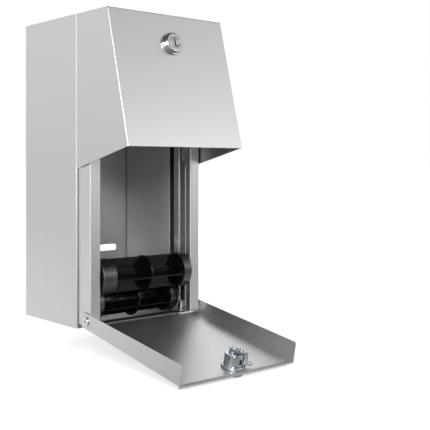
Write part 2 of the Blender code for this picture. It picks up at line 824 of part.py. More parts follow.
def make_cup(name, side, plastic, parent):
    """End cap of the spool, open towards the middle."""
    outer_x = cup_outer_x[side]
    rim_x = cup_rim_x[side]
    end_x = outer_x - cup_end
    bore = axle_radius + seat_gap
    skirt = spool_radius - cup_wall
    profile = [
        (bore, outer_x), (spool_radius - cup_round, outer_x), (spool_radius, outer_x - cup_round),
        (spool_radius, rim_x), (skirt, rim_x), (skirt, end_x), (bore, end_x)]
    cup = turned([(radius, side * height) for radius, height in profile], "x", spool_steps)
    keep(cup, name, plastic, parent, is_round=True)


def make_runner(name, side, radius, reach, plastic, parent):
    """Capped sleeve on the axle's end that rides in the track."""
    start = cup_outer_x[side] + seat_gap
    end = guide_x + reach
    bore = axle_radius + seat_gap
    profile = [
        (0, end), (radius - runner_round, end), (radius, end - runner_round), (radius, start),
        (bore, start), (bore, end - runner_cap), (0, end - runner_cap)]
    runner = turned([(width, side * height) for width, height in profile], "x", small_steps)
    keep(runner, name, plastic, parent, is_round=True)


def make_axle(name, reach, steel, parent):
    end = guide_x + reach - runner_cap - seat_gap
    keep(prism(circle(axle_radius, small_steps), "x", -end, end), name, steel, parent, is_round=True)


def make_spindle(level, fin_lean, runner_radius, reach, plastic, steel, parent):
    make_axle(level + "_axle", reach, steel, parent)
    make_spool(level + "_spool", fin_lean, plastic, parent)
    for word, side in sides:
        make_cup(level + "_cup_" + word, side, plastic, parent)
        make_runner(level + "_runner_" + word, side, runner_radius, reach, plastic, parent)


clear_scene()

brushed = make_finish("brushed_stainless", (0.56, 0.56, 0.57), 1, 0.34)
bright = make_finish("bright_steel", (0.66, 0.66, 0.67), 1, 0.22)
chrome = make_finish("chrome_plate", (0.78, 0.79, 0.80), 1, 0.10)
black = make_finish("black_plastic", (0.018, 0.018, 0.020), 0, 0.28)

wall_foot = make_axis("wall_foot", (0, 0, -case_height / 2))
hood_axis = make_axis("hood_axis", (0, hinge_y, hinge_height), wall_foot)
door_axis = make_axis("door_axis", (0, pivot_y, pivot_z), wall_foot, door_droop)
lock_place = on_hood_front(0, 0)
hood_lock_axis = make_axis(
    "hood_lock_axis", (0, lock_place[0] - hinge_y, lock_place[1] - hinge_height), hood_axis,
    math.pi / 2 - hood_tilt)
door_lock_axis = make_axis(
    "door_lock_axis", (door_lock_offset, door_lock_y, door_under), door_axis, math.pi)
lower_axis = make_axis("lower_axis", (0, lower_axis_y, lower_axis_z), wall_foot)
upper_axis = make_axis("upper_axis", (0, upper_axis_y, upper_axis_z), wall_foot)

make_case(brushed, wall_foot)
make_sill(brushed, wall_foot)
make_strike(bright, wall_foot)
for word, side in sides:
    make_guide("guide_" + word, side, brushed, wall_foot)
    make_slot_rail("slot_rail_" + word, side, brushed, wall_foot)
    make_post("post_" + word, side, brushed, wall_foot)
    make_track_foot("track_foot_" + word, side, bright, wall_foot)
    make_door_pin("door_pin_" + word, side, bright, door_axis)
    make_hood_pin("hood_pin_" + word, side, bright, hood_axis)

make_hood(brushed, hood_axis)
make_lock("hood_lock", chrome, hood_lock_axis)
make_hood_cam(bright, hood_lock_axis)

make_door(brushed, door_axis)
make_lock("door_lock", chrome, door_lock_axis)
make_door_cam(chrome, door_lock_axis)

make_spindle("lower", lower_fin_lean, lower_runner_radius, lower_runner_reach, black, bright, lower_axis)
make_spindle("upper", upper_fin_lean, upper_runner_radius, upper_runner_reach, black, bright, upper_axis)
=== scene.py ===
import json
import math

import bmesh
import bpy
from mathutils import Matrix, Vector


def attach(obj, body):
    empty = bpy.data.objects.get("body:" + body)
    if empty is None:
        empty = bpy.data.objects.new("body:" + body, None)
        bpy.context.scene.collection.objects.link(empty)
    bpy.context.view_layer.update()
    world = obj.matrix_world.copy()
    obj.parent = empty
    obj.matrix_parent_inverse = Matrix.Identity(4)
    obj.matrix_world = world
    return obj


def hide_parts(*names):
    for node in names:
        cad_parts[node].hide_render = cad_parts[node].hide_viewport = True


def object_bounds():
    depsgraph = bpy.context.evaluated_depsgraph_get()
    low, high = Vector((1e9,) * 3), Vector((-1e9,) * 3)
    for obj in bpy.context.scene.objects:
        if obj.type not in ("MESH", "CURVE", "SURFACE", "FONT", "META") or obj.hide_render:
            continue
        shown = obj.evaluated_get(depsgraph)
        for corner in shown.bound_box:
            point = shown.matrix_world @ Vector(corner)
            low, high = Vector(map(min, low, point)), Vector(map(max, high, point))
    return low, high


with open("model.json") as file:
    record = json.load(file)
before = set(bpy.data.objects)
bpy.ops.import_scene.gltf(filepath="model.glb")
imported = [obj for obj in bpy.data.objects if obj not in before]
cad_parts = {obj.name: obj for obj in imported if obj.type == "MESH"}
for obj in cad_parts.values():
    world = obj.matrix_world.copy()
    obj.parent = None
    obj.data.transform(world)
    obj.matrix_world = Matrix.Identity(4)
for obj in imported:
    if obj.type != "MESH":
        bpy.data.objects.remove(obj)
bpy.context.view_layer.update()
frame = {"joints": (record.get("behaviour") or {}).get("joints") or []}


# The case is one blank of 1 mm stainless sheet, folded into a box with an open front and welded at the
# corners. It is brushed along its height. The open front keeps a flange down each side, wider behind the
# hood, and a low lip along its foot. Four slots in its back are for fixing it to a wall.
case_sheet = 0.0010
case_width = 0.137
case_height = 0.300
case_depth = 0.0992
case_bend = 0.0016
case_flange = 0.0073
case_flange_low = 0.0035
case_flange_step = 0.157
case_lip = 0.0030
case_lip_width = 0.115
case_edge = 0.00018
wall_slot_spacing = (0.060, 0.173)
wall_slot_length = 0.030
wall_slot_width = 0.0068
wall_slot_corner = 0.0030
arc_step = math.radians(12)
overrun = 0.002
foot_place = Matrix.Translation((0, 0, -case_height / 2))
upright = Vector((0, 0, 1))
sides = (("left", -1), ("right", 1))
edge_angle = math.radians(35)
edge_segments = 2
end_on_share = 0.8
noise_shares = (0.28, 0.72)
line_width = 0.00022
line_length = 0.020
line_share = 0.55
line_depth = 0.000004
line_bump_share = 0.20
line_dulling = 0.02
band_width = 0.0035
band_length = 0.180
patch_size = 0.045
patch_dulling = 0.015
dark_steel_shares = (0.975, 0.975, 0.978)
light_steel_shares = (1.02, 1.02, 1.024)
steel_anisotropy_share = 0.3


def on_axis(axis, across, along, height):
    """Point of a section: height runs along the named axis."""
    if axis == "x":
        return (height, across, along)
    if axis == "y":
        return (across, height, along)
    return (across, along, height)


def new_solid(points, faces):
    mesh = bpy.data.meshes.new("solid")
    mesh.from_pydata(points, [], faces)
    shape = bmesh.new()
    shape.from_mesh(mesh)
    bmesh.ops.recalc_face_normals(shape, faces=shape.faces)
    shape.to_mesh(mesh)
    shape.free()
    solid = bpy.data.objects.new("solid", mesh)
    bpy.context.scene.collection.objects.link(solid)
    return solid


def combine(target, tool, operation="DIFFERENCE"):
    """Cut, join or intersect target with tool, and drop the tool."""
    step = target.modifiers.new("combine", "BOOLEAN")
    step.operation = operation
    step.solver = "EXACT"
    step.object = tool
    graph = bpy.context.evaluated_depsgraph_get()
    result = bpy.data.meshes.new_from_object(target.evaluated_get(graph))
    target.modifiers.remove(step)
    target.data = result
    bpy.data.objects.remove(tool, do_unlink=True)


def prism(outline, axis, low, high):
    count = len(outline)
    points = [on_axis(axis, across, along, low) for across, along in outline]
    points += [on_axis(axis, across, along, high) for across, along in outline]
    faces = [tuple(range(count)), tuple(range(count, 2 * count))]
    for index in range(count):
        following = (index + 1) % count
        faces.append((index, following, following + count, index + count))
    return new_solid(points, faces)


def rectangle(left, right, low, high):
    return [(left, low), (right, low), (right, high), (left, high)]


def block(x_low, x_high, y_low, y_high, z_low, z_high):
    return prism(rectangle(x_low, x_high, y_low, y_high), "z", z_low, z_high)


def side_range(side, low, high):
    """The two ends of a stretch on the right side, mirrored when side is -1."""
    return sorted((side * low, side * high))


def rounded(corners, radii):
    """Outline through the corners, each rounded by its own radius; zero leaves a corner sharp."""
    outline = []
    for index, corner in enumerate(corners):
        if radii[index] == 0:
            outline.append(corner)
            continue
        here = Vector(corner)
        before = (Vector(corners[index - 1]) - here).normalized()
        after = (Vector(corners[(index + 1) % len(corners)]) - here).normalized()
        half_angle = before.angle(after) / 2
        reach = radii[index] / math.tan(half_angle)
        centre = here + (before + after).normalized() * radii[index] / math.sin(half_angle)
        start = here + before * reach - centre
        turn = 1 if before.cross(after) < 0 else -1
        sweep = math.pi - 2 * half_angle
        steps = max(2, round(sweep / arc_step))
        for step in range(steps + 1):
            outline.append(tuple(centre + Matrix.Rotation(turn * sweep * step / steps, 2) @ start))
    return outline


def lay_grain(piece, along):
    """Map the faces for their brushing: U runs across the brush lines and V along them, in metres."""
    shape = bmesh.new()
    shape.from_mesh(piece.data)
    grain = shape.loops.layers.uv.new("grain")
    for face in shape.faces:
        run = along if abs(face.normal.dot(along)) < end_on_share else along.orthogonal()
        across = face.normal.cross(run).normalized()
        run = across.cross(face.normal)
        for corner in face.loops:
            corner[grain].uv = (corner.vert.co.dot(across), corner.vert.co.dot(run))
    shape.to_mesh(piece.data)
    shape.free()


def ease_edges(piece, width):
    """Break every sharp edge by a small width, and shade the flats flat and the folds round."""
    piece.data.shade_smooth()
    edge = piece.modifiers.new("edges", "BEVEL")
    edge.width = width
    edge.segments = edge_segments
    edge.limit_method = "ANGLE"
    edge.angle_limit = edge_angle
    edge.use_clamp_overlap = False
    edge.miter_outer = "MITER_ARC"
    shading = piece.modifiers.new("shading", "WEIGHTED_NORMAL")
    shading.weight = 100
    shading.keep_sharp = False


def settle(piece, node, finish, body, place):
    """Name a finished piece after its finish and node, put it in place and let it ride on its body."""
    piece.name = finish.name.split("_")[0] + "_" + node
    piece.data.name = piece.name
    piece.data.transform(place)
    piece.data.materials.clear()
    piece.data.materials.append(finish)
    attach(piece, body)
    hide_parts(node)


def spread(tree, source, low, high):
    """Stretch the middle of a noise over low to high."""
    reach = tree.nodes.new("ShaderNodeMapRange")
    reach.inputs["From Min"].default_value = noise_shares[0]
    reach.inputs["From Max"].default_value = noise_shares[1]
    reach.inputs["To Min"].default_value = low
    reach.inputs["To Max"].default_value = high
    tree.links.new(source, reach.inputs["Value"])
    return reach.outputs["Result"]


def worked(tree, operation, first, second):
    """Math node whose inputs are sockets or plain numbers."""
    step = tree.nodes.new("ShaderNodeMath")
    step.operation = operation
    for place, value in enumerate((first, second)):
        if isinstance(value, (int, float)):
            step.inputs[place].default_value = value
        else:
            tree.links.new(value, step.inputs[place])
    return step.outputs["Value"]


def brush_lines(tree, width, length, detail):
    """Noise drawn out along the brushing, as fine lines or as broad bands."""
    grain = tree.nodes.new("ShaderNodeUVMap")
    grain.uv_map = "grain"
    stretch = tree.nodes.new("ShaderNodeMapping")
    stretch.inputs["Scale"].default_value = (1 / width, 1 / length, 1)
    noise = tree.nodes.new("ShaderNodeTexNoise")
    noise.inputs["Scale"].default_value = 1
    noise.inputs["Detail"].default_value = detail
    tree.links.new(grain.outputs["UV"], stretch.inputs["Vector"])
    tree.links.new(stretch.outputs["Vector"], noise.inputs["Vector"])
    return noise.outputs["Fac"]


def cloudy(tree, size, detail):
    """Soft patches of the given size that move with the piece."""
    place = tree.nodes.new("ShaderNodeTexCoord")
    noise = tree.nodes.new("ShaderNodeTexNoise")
    noise.inputs["Scale"].default_value = 1 / size
    noise.inputs["Detail"].default_value = detail
    tree.links.new(place.outputs["Object"], noise.inputs["Vector"])
    return noise.outputs["Fac"]


def blended(tree, share, dark, light):
    mix = tree.nodes.new("ShaderNodeMix")
    mix.data_type = "RGBA"
    mix.inputs[6].default_value = (*dark, 1)
    mix.inputs[7].default_value = (*light, 1)
    tree.links.new(share, mix.inputs[0])
    return mix.outputs[2]


def scored(tree, height, depth, share):
    """Relief of the given depth, felt by the light to the given share."""
    bump = tree.nodes.new("ShaderNodeBump")
    bump.inputs["Strength"].default_value = share
    bump.inputs["Distance"].default_value = depth
    tree.links.new(height, bump.inputs["Height"])
    return bump.outputs["Normal"]


def tinted(shade, shares):
    return [shade * share for share in shares]


def new_finish(name):
    finish = bpy.data.materials.new(name)
    finish.use_nodes = True
    return finish, finish.node_tree, finish.node_tree.nodes["Principled BSDF"]


def brushed_steel(name, shade, roughness):
    """Belt-brushed stainless sheet: fine lines, faint broad bands and a few duller patches."""
    finish, tree, shader = new_finish(name)
    shader.inputs["Metallic"].default_value = 1
    shader.inputs["Anisotropic"].default_value = steel_anisotropy_share
    lines = brush_lines(tree, line_width, line_length, detail=3)
    bands = brush_lines(tree, band_width, band_length, detail=2)
    patches = cloudy(tree, patch_size, detail=2)
    tone = worked(tree, "ADD", spread(tree, lines, 0, line_share), spread(tree, bands, 0, 1 - line_share))
    dark = tinted(shade, dark_steel_shares)
    light = tinted(shade, light_steel_shares)
    tree.links.new(blended(tree, tone, dark, light), shader.inputs["Base Color"])
    fine = spread(tree, lines, roughness - line_dulling, roughness + line_dulling)
    broad = spread(tree, patches, -patch_dulling, patch_dulling)
    tree.links.new(worked(tree, "ADD", fine, broad), shader.inputs["Roughness"])
    tree.links.new(scored(tree, lines, line_depth, line_bump_share), shader.inputs["Normal"])
    across = tree.nodes.new("ShaderNodeTangent")
    across.direction_type = "UV_MAP"
    across.uv_map = "grain"
    tree.links.new(across.outputs["Tangent"], shader.inputs["Tangent"])
    return finish


case_steel = brushed_steel("steel_case", shade=0.60, roughness=0.36)
half_case = case_width / 2
inner_x = half_case - case_sheet
mouth_x = half_case - case_flange
front = -case_depth
shell = rectangle(-half_case, half_case, front, 0)
case = prism(rounded(shell, [case_bend] * len(shell)), "z", 0, case_height)
hollow = [
    (-inner_x, -case_sheet), (-inner_x, front + case_sheet), (-mouth_x, front + case_sheet),
    (-mouth_x, front - overrun), (mouth_x, front - overrun), (mouth_x, front + case_sheet),
    (inner_x, front + case_sheet), (inner_x, -case_sheet)]
fold = case_bend - case_sheet
hollow_radii = [fold, fold, 0, 0, 0, 0, fold, fold]
combine(case, prism(rounded(hollow, hollow_radii), "z", case_sheet, case_height - case_sheet))
lip = block(-case_lip_width / 2, case_lip_width / 2, front, front + case_sheet, 0, case_lip)
combine(case, lip, "UNION")
behind_front = front + case_sheet + overrun
for word, side in sides:
    trimmed = side_range(side, mouth_x - overrun, half_case - case_flange_low)
    combine(case, block(*trimmed, front - overrun, behind_front, case_sheet, case_flange_step))
reach = wall_slot_length / 2
rise = wall_slot_width / 2
for word, side in sides:
    middle_x = side * wall_slot_spacing[0] / 2
    for end in (-1, 1):
        middle_z = (case_height + end * wall_slot_spacing[1]) / 2
        slot = rectangle(middle_x - reach, middle_x + reach, middle_z - rise, middle_z + rise)
        slot = rounded(slot, [wall_slot_corner] * len(slot))
        combine(case, prism(slot, "y", -case_sheet - overrun, overrun))
lay_grain(case, upright)
ease_edges(case, case_edge)
settle(case, "case_shell", case_steel, "case", foot_place)


# The guides are the case's inner side walls, 1 mm stainless sheet spot-welded to its back by a flange.
# Each has an upright slot for the lower spindle's ends, open to the front by a mouth at its top. The
# strip ahead of the slot is a piece of its own: its folded hem is rubbed smoother, and its lighter shade
# is a painted highlight along that hem. The walls' own lighter shade is painted light from the opening.
guide_sheet = 0.0010
guide_x = 0.0587
guide_front = -0.0971
guide_gap = 0.0013
guide_bend = 0.0015
guide_flange = 0.0073
guide_hem = 0.0022
guide_hem_depth = 0.0025
guide_hem_round = 0.0010
guide_edge = 0.0002
guide_slot = (-0.0882, -0.0804)
guide_slot_foot = 0.0165
guide_slot_round = 0.0035
guide_mouth = (0.208, 0.216)
rail_gap = 0.0002

# Painted light: the inner walls are a lighter copy of the case's steel, for the light that falls in at the
# opening.
lit_inner_steel = brushed_steel("steel_inner", shade=0.77, roughness=0.60)
# Painted highlight: the slot rails are lighter still, for the bright line along their hems; their smoother
# finish is real.
highlight_rail_steel = brushed_steel("steel_rail", shade=0.80, roughness=0.24)


def mirrored(outline, side):
    """Outline whose first value is turned over to the left when side is -1."""
    return [(side * across, along) for across, along in outline]


outer_x = guide_x + guide_sheet
hem_x = guide_x + guide_hem
hem_y = guide_front + guide_hem_depth
flange_x = guide_x + guide_flange
flange_y = -guide_gap - guide_sheet
section = [
    (guide_x, -guide_gap), (guide_x, guide_front), (hem_x, guide_front), (hem_x, hem_y),
    (outer_x, hem_y), (outer_x, flange_y), (flange_x, flange_y), (flange_x, -guide_gap)]
radii = [guide_bend, guide_hem_round, guide_hem_round, 0, 0, guide_bend - guide_sheet, 0, 0]
section = rounded(section, radii)
slot = [
    (guide_slot[1], guide_slot_foot), (guide_slot[1], guide_mouth[1]),
    (guide_front - overrun, guide_mouth[1]), (guide_front - overrun, guide_mouth[0]),
    (guide_slot[0], guide_mouth[0]), (guide_slot[0], guide_slot_foot)]
slot = rounded(slot, [guide_slot_round, 0, 0, 0, 0, guide_slot_round])
for word, side in sides:
    guide = prism(mirrored(section, side), "z", guide_gap, case_height - guide_gap)
    ends = side_range(side, guide_x - overrun, hem_x + overrun)
    combine(guide, prism(slot, "x", *ends))
    rail = guide.copy()
    rail.data = guide.data.copy()
    bpy.context.scene.collection.objects.link(rail)
    ahead = (*ends, guide_front - overrun, guide_slot[0])
    combine(rail, block(*ahead, guide_slot_foot + rail_gap, guide_mouth[0]), "INTERSECT")
    combine(guide, block(*ahead, guide_slot_foot, guide_mouth[0] + rail_gap))
    pieces = ((guide, "guide_" + word, lit_inner_steel), (rail, "slot_rail_" + word, highlight_rail_steel))
    for piece, node, finish in pieces:
        lay_grain(piece, upright)
        ease_edges(piece, guide_edge)
        settle(piece, node, finish, "case", foot_place)


# The posts are channels of 0.8 mm stainless sheet that stand at the front of the opening. Their rear is
# the track of the upper spindle, their ear carries the hood's hinge, and the tab behind the ear is
# spot-welded to the case's flange. A short sole is folded in at the foot of each.
panel_sheet = 0.0008
panel_bend = 0.0014
seat_y = -0.0995
post_x = 0.0664
post_inner_x = post_x - panel_sheet
post_edge_x = 0.0548
post_front = -0.1204
post_return_y = -0.1136
post_foot = 0.0045
post_top = 0.215
post_tab_x = 0.0615
post_tab = (0.170, 0.210)
sheet_edge = 0.0001
sole_length = 0.0179
sole_rear = -0.1015
hinge_y = -0.1035
hinge_height = 0.157
hinge_hole = 0.00215
pivot_y = -0.1148
pivot_height = 0.0088
pivot_hole = 0.0026
heel_cut_radius = 0.00605
hole_steps = 32

post_steel = brushed_steel("steel_post", shade=0.63, roughness=0.34)


def folded(path, thickness, bend):
    """Section of a folded sheet that lies to the left of its path, with every fold rounded."""
    points = [Vector(point) for point in path]
    headings = [(after - before).normalized() for before, after in zip(points, points[1:])]
    normals = [Vector((-heading.y, heading.x)) for heading in headings]
    near = [(tuple(points[0]), 0)]
    far = [(tuple(points[0] + normals[0] * thickness), 0)]
    for index in range(1, len(points) - 1):
        before, after = normals[index - 1], normals[index]
        shift = (before + after) * thickness / (1 + before.dot(after))
        turns_left = headings[index - 1].cross(headings[index]) > 0
        inside, outside = bend - thickness, bend
        near.append((tuple(points[index]), outside if turns_left else inside))
        far.append((tuple(points[index] + shift), inside if turns_left else outside))
    near.append((tuple(points[-1]), 0))
    far.append((tuple(points[-1] + normals[-1] * thickness), 0))
    whole = near + far[::-1]
    return rounded([corner for corner, radius in whole], [radius for corner, radius in whole])


def circle(radius, steps, centre=(0, 0)):
    angles = [2 * math.pi * (step + 0.5) / steps for step in range(steps)]
    return [(centre[0] + radius * math.cos(angle), centre[1] + radius * math.sin(angle)) for angle in angles]


path = [
    (post_edge_x, post_return_y), (post_edge_x, post_front), (post_x, post_front), (post_x, seat_y),
    (post_tab_x, seat_y)]
section = folded(path, panel_sheet, panel_bend)
tab_rear = seat_y - panel_bend
heel_z = pivot_height - math.sqrt(heel_cut_radius ** 2 - (pivot_y - post_front) ** 2)
heel_y = pivot_y - math.sqrt(heel_cut_radius ** 2 - (pivot_height - post_foot) ** 2)
for word, side in sides:
    post = prism(mirrored(section, side), "z", post_foot, post_top)
    beside = side_range(side, post_tab_x - overrun, post_inner_x)
    combine(post, block(*beside, tab_rear, seat_y + overrun, post_foot - overrun, post_tab[0]))
    combine(post, block(*beside, tab_rear, seat_y + overrun, post_tab[1], post_top + overrun))
    toe = side_range(side, post_edge_x - overrun, post_x + overrun)
    combine(post, block(*toe, post_front - overrun, heel_y, post_foot - overrun, heel_z))
    sole = side_range(side, post_x - sole_length, post_x)
    combine(post, block(*sole, heel_y, sole_rear, post_foot, post_foot + panel_sheet), "UNION")
    through = side_range(side, post_inner_x - overrun, post_x + overrun)
    combine(post, prism(circle(hinge_hole, hole_steps, (hinge_y, hinge_height)), "x", *through))
    combine(post, prism(circle(pivot_hole, hole_steps, (pivot_y, pivot_height)), "x", *through))
    lay_grain(post, upright)
    ease_edges(post, sheet_edge)
    settle(post, "post_" + word, post_steel, "case", foot_place)


# The sill is a folded strip of the posts' sheet across the foot of the opening, dull, and very dark: its
# dark shade is painted shade, for the shade and dark reflections it lies in. Its front edge is turned
# down between the posts' soles, and its rear flange is spot-welded to the case's lip.
sill_top = 0.0042
sill_depth = 0.0100
sill_front_drop = 0.0030
sill_flange = 0.0036
sill_half = 0.0653

sideways = Vector((1, 0, 0))
# Painted shade: the sill's steel is given a very dark shade.
painted_shade_sill_steel = brushed_steel("steel_sill", shade=0.16, roughness=0.42)
sill_front = seat_y - sill_depth
sill_rear = seat_y - panel_sheet
sill_under = sill_top - panel_sheet
path = [
    (sill_front + panel_sheet, sill_top - sill_front_drop), (sill_front + panel_sheet, sill_under),
    (sill_rear, sill_under), (sill_rear, sill_top - sill_flange)]
sill = prism(folded(path, panel_sheet, panel_bend), "x", -sill_half, sill_half)
for word, side in sides:
    clear = side_range(side, post_x - sole_length, sill_half + overrun)
    combine(sill, block(*clear, sill_front - overrun, sill_rear - panel_bend, 0, sill_under))
lay_grain(sill, sideways)
ease_edges(sill, sheet_edge)
settle(sill, "sill", painted_shade_sill_steel, "case", foot_place)


# The track feet are small upright gussets of bright sheet on the sill. The web of each closes its track
# at the foot, and its tapered flange is spot-welded to the guide, where the right one catches the light.
weld_gap = 0.0003
gusset_height = 0.0095
gusset_low = sill_top + weld_gap
gusset_top = gusset_low + gusset_height
gusset_front = -0.1012
gusset_rear = -0.0956
gusset_top_rear = -0.0986
gusset_toe = 0.0010
gusset_x = guide_x - weld_gap
gusset_end = post_inner_x - weld_gap

bright_steel = brushed_steel("bright_sheet", shade=0.68, roughness=0.20)
flange_x = gusset_x - panel_sheet
path = [(gusset_end, gusset_front), (flange_x, gusset_front), (flange_x, gusset_rear)]
section = folded(mirrored(path, -1), panel_sheet, panel_bend)
slope = [
    (gusset_rear + overrun, gusset_low + gusset_toe), (gusset_rear, gusset_low + gusset_toe),
    (gusset_top_rear, gusset_top), (gusset_top_rear, gusset_top + overrun),
    (gusset_rear + overrun, gusset_top + overrun)]
for word, side in sides:
    foot = prism(mirrored(section, -side), "z", gusset_low, gusset_top)
    combine(foot, prism(slope, "x", *side_range(side, flange_x - overrun, gusset_x + overrun)))
    lay_grain(foot, upright)
    ease_edges(foot, sheet_edge)
    settle(foot, "track_foot_" + word, bright_steel, "case", foot_place)


# The strike is a stepped strip of 1.2 mm sheet, spot-welded under the case's roof. Its lip hangs where
# the cam of the hood's lock turns up behind it.
strike_sheet = 0.0012
strike_bend = 0.0020
strike_width = 0.0170
strike_roof = 0.2987
strike_base_y = -0.0700
strike_web_y = -0.0920
strike_arm = 0.28759
strike_lip_y = -0.14451
strike_lip_low = 0.27857
path = [
    (strike_base_y, strike_roof), (strike_web_y, strike_roof), (strike_web_y, strike_arm),
    (strike_lip_y, strike_arm), (strike_lip_y, strike_lip_low)]
section = folded(path, strike_sheet, strike_bend)
strike = prism(section, "x", -strike_width / 2, strike_width / 2)
lay_grain(strike, sideways)
ease_edges(strike, sheet_edge)
settle(strike, "hood_strike", bright_steel, "case", foot_place)


# The hood is 0.8 mm stainless sheet: a sloping front with the roof and both sides folded back from it,
# welded along the slanted corners and ground. Its lower edge is hemmed, and a round hole takes the lock.
# It hinges on two studs welded inside its lower rear corners.
hood_rear = 0.0040
hood_depth_top = 0.0521
hood_depth_low = 0.0843
hood_top = case_height - hinge_height
hood_front_top = hood_rear - hood_depth_top
hood_front_low = hood_rear - hood_depth_low
hood_front_rise = 0.0156
hood_side_drop = 0.0046
hood_corner = 0.0037
hood_edge_round = 0.0012
hood_hem = 0.0010
hood_hem_height = 0.0070
hood_inner_x = half_case - panel_sheet
hood_edge = 0.00012
hood_tilt = math.atan2(hood_front_top - hood_front_low, hood_top - hood_front_rise)
lock_hole = 0.00905
lock_hole_steps = 64
round_segments = 5
nearness = 0.0001
joint_place = {joint["name"]: Vector(joint["pos_m"]) for joint in frame["joints"] if "pos_m" in joint}
hood_place = Matrix.Translation(joint_place["hood_hinge"])
hood_lock_lean = Matrix.Rotation(math.pi / 2 - hood_tilt, 4, "X")
hood_lock_place = Matrix.Translation(joint_place["hood_lock_turn"]) @ hood_lock_lean

hood_steel = brushed_steel("steel_hood", shade=0.59, roughness=0.36)


def soften(solid, picks, width):
    """Round the edges of a solid that picks accepts."""
    shape = bmesh.new()
    shape.from_mesh(solid.data)
    edges = [edge for edge in shape.edges if picks(*[corner.co for corner in edge.verts])]
    bmesh.ops.bevel(shape, geom=edges, offset=width, segments=round_segments, profile=0.5, affect="EDGES")
    shape.to_mesh(solid.data)
    shape.free()


outline = [
    (hood_rear, -hood_side_drop), (hood_rear, hood_top), (hood_front_top, hood_top),
    (hood_front_low, hood_front_rise)]
hood = prism(rounded(outline, [hood_corner, 0, panel_bend, 0]), "x", -half_case, half_case)
slope_along = Vector((hood_front_low - hood_front_top, hood_front_rise - hood_top))
slope_length = slope_along.length
slope_along.normalize()
slope_inward = Vector((-slope_along.y, slope_along.x))


def behind_slope(point):
    """Distance from the hood's front to a point behind it."""
    return slope_inward.dot(Vector((point.y - hood_front_top, point.z - hood_top)))


def is_hood_edge(first, second):
    crosses = first.x * second.x < 0
    on_front = max(behind_slope(first), behind_slope(second)) < panel_sheet
    on_top = min(first.z, second.z) > hood_top - panel_sheet
    at_rear = min(first.y, second.y) > hood_rear - nearness
    return not crosses and (on_front or on_top) and not at_rear


def on_slope(depth, distance):
    """Point of the hood's section, at a depth behind its front and a distance down it."""
    return tuple(Vector((hood_front_top, hood_top)) + slope_inward * depth + slope_along * distance)


soften(hood, is_hood_edge, hood_edge_round)
miter = panel_sheet * (1 - math.sin(hood_tilt)) / math.cos(hood_tilt)
behind_hem = panel_sheet + hood_hem
hem_start = slope_length - hood_hem_height
below_side = -hood_side_drop - overrun
hollow = [
    (hood_rear + overrun, hood_top - panel_sheet), on_slope(panel_sheet, miter),
    on_slope(panel_sheet, hem_start), on_slope(behind_hem, hem_start),
    on_slope(behind_hem, slope_length + overrun), (hood_front_low, below_side),
    (hood_rear + overrun, below_side)]
combine(hood, prism(hollow, "x", -hood_inner_x, hood_inner_x))
hole = prism(circle(lock_hole, lock_hole_steps), "z", -panel_sheet - overrun, overrun)
hole.data.transform(hood_place.inverted() @ hood_lock_place)
combine(hood, hole)
lay_grain(hood, Vector((0, slope_along.x, slope_along.y)))
ease_edges(hood, hood_edge)
settle(hood, "hood_shell", hood_steel, "hood", hood_place)


# Two collared studs of turned steel are the hood's hinge pins. Each is welded inside the hood's side
# and turns in the ear of the post beside it.
stud_root = hood_inner_x - weld_gap
stud_collar = 0.0007
stud_collar_radius = 0.0032
stud_collar_edge = 0.0002
stud_radius = 0.0020
stud_fillet = 0.0003
stud_tip_round = 0.0004
stud_past_ear = 0.0030
stud_steps = 40
sharp_angle = math.radians(40)


def turned(profile, axis, steps):
    """Solid turned about an axis from (radius, height) points.

    A profile that starts and ends on the axis is solid there; any other one closes on itself.
    """
    points = []
    rings = []
    for radius, height in profile:
        if radius == 0:
            rings.append([len(points)] * steps)
            points.append(on_axis(axis, 0, 0, height))
            continue
        rings.append(list(range(len(points), len(points) + steps)))
        points += [on_axis(axis, across, along, height) for across, along in circle(radius, steps)]
    pairs = list(zip(rings, rings[1:]))
    if profile[0][0] > 0:
        pairs.append((rings[-1], rings[0]))
    faces = []
    for first, second in pairs:
        for step in range(steps):
            following = (step + 1) % steps
            corners = [first[step], first[following], second[following], second[step]]
            faces.append(tuple(dict.fromkeys(corners)))
    return new_solid(points, faces)


def shade_turned(piece):
    """Round shading, with the edges that the profile leaves sharp kept sharp."""
    piece.data.shade_smooth()
    piece.data.set_sharp_from_angle(angle=sharp_angle)


def turned_beside(profile, radii, side, steps):
    """Piece turned about X from the rounded profile of the right one, mirrored when side is -1."""
    piece = turned([(radius, side * height) for radius, height in rounded(profile, radii)], "x", steps)
    shade_turned(piece)
    return piece


collar = stud_root - stud_collar
stud_end = post_inner_x - stud_past_ear
profile = [
    (0, stud_root), (stud_collar_radius, stud_root), (stud_collar_radius, collar), (stud_radius, collar),
    (stud_radius, stud_end), (0, stud_end)]
radii = [0, stud_collar_edge, stud_collar_edge, stud_fillet, stud_tip_round, 0]
for word, side in sides:
    stud = turned_beside(profile, radii, side, stud_steps)
    lay_grain(stud, sideways)
    settle(stud, "hood_pin_" + word, bright_steel, "hood", hood_place)


